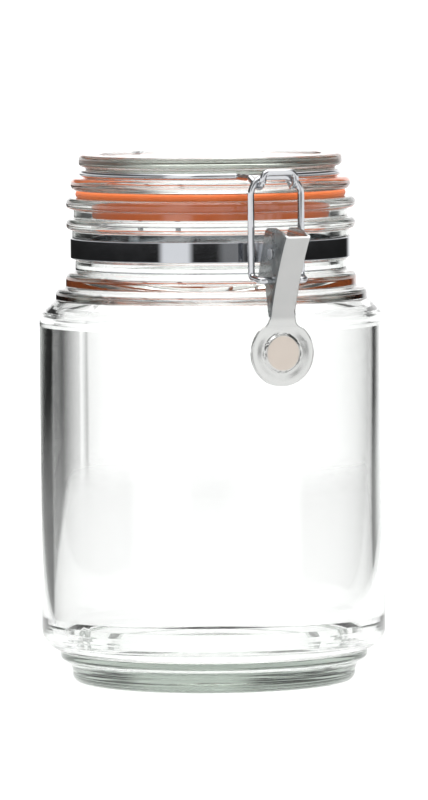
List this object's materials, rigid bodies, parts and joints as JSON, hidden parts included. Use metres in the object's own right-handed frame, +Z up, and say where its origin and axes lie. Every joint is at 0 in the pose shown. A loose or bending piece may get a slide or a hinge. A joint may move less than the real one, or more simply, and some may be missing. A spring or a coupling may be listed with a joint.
{
  "type": "bail clamp jar",
  "caption": "Round glass storage jar with a stepped neck, a glass lid on a wire hinge, a rubber seal, and a wire bail clamp with a stamped lever.",
  "frame": {"origin": "centre of the foot's bearing ring, on the plane that the jar stands on", "axes": "+Z up along the jar's axis; the clamp is on the -Y side and the lid hinge on the +Y side"},
  "size_m": [0.1208, 0.1373, 0.185],
  "materials": {
    "clear_glass": "clear pressed glass, faint grey-green in thick edges",
    "lid_glass": "clear pressed glass, thick",
    "orange_rubber": "soft orange rubber",
    "bright_wire": "bright drawn steel wire",
    "polished_band": "polished rolled steel strip",
    "folded_steel": "bright folded steel sheet",
    "rivet_steel": "headed steel pin",
    "satin_steel": "stamped steel sheet with a satin face"
  },
  "bodies": {
    "jar": {"jar_body": "clear_glass", "neck_band": "polished_band", "clamp_bracket": "folded_steel", "clamp_rivets": "rivet_steel", "lever_pin": "rivet_steel", "hinge_bracket": "folded_steel", "hinge_rivets": "rivet_steel"},
    "lid": {"jar_lid": "lid_glass", "seal_ring": "orange_rubber", "lid_wire": "bright_wire"},
    "lever": {"clamp_lever": "satin_steel"},
    "bail": {"bail_wire": "bright_wire"}
  },
  "joints": [
    {"name": "lid_hinge", "type": "hinge", "parent": "jar", "child": "lid", "pos_m": [0, 0.0544, 0.1525], "axis": [-1, 0, 0], "range_deg": [0, 105]},
    {"name": "lever_swing", "type": "hinge", "parent": "jar", "child": "lever", "pos_m": [0, -0.0635, 0.1525], "axis": [-1, 0, 0], "range_deg": [0, 100]},
    {"name": "bail_swing", "type": "hinge", "parent": "lever", "child": "bail", "pos_m": [0, -0.0632, 0.1433], "axis": [-1, 0, 0], "range_deg": [-75, 0]}
  ],
  "couplings": [
    {"joint": "bail_swing", "follows": "lever_swing", "ratio": -0.75}
  ]
}
